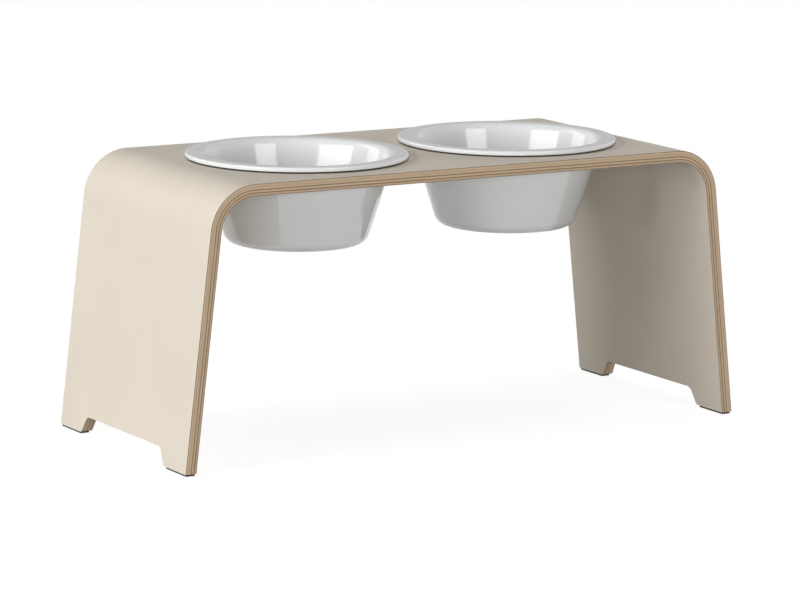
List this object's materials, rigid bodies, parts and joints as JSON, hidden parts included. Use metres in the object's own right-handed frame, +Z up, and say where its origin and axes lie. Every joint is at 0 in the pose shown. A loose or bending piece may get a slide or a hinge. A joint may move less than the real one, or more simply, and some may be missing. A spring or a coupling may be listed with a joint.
{
  "type": "dog feeder stand",
  "caption": "Raised feeder stand: an arch of bent plywood with laminate faces and splayed, notched legs; flanged porcelain bowls hang in round holes and lift out.",
  "frame": {"origin": "on the floor under the middle of the stand", "axes": "+X along the stand, +Y from front to back, +Z up"},
  "size_m": [0.5952, 0.25, 0.2657],
  "materials": {
    "laminate": "fine matt cream high-pressure laminate",
    "long_veneer": "bare sanded birch or beech veneer, grain along the stand",
    "cross_veneer": "bare sanded veneer, end grain showing on the front edge",
    "porcelain": "glossy white glaze",
    "ring_rubber": "matt black silicone",
    "pad_rubber": "matt black foam rubber"
  },
  "bodies": {
    "stand": {"outer_laminate": "laminate", "outer_face_ply": "long_veneer", "outer_cross_ply": "cross_veneer", "outer_long_ply": "long_veneer", "core_cross_ply": "cross_veneer", "inner_long_ply": "long_veneer", "inner_cross_ply": "cross_veneer", "inner_face_ply": "long_veneer", "inner_laminate": "laminate", "front_left_pad": "pad_rubber", "back_left_pad": "pad_rubber", "front_right_pad": "pad_rubber", "back_right_pad": "pad_rubber"},
    "left_bowl": {"left_bowl": "porcelain", "left_rim_ring": "ring_rubber"},
    "right_bowl": {"right_bowl": "porcelain", "right_rim_ring": "ring_rubber"}
  },
  "joints": [
    {"name": "left_bowl_lift", "type": "slide", "parent": "stand", "child": "left_bowl", "axis": [0, 0, 1], "range_m": [0, 0.12]},
    {"name": "right_bowl_lift", "type": "slide", "parent": "stand", "child": "right_bowl", "axis": [0, 0, 1], "range_m": [0, 0.12]}
  ]
}
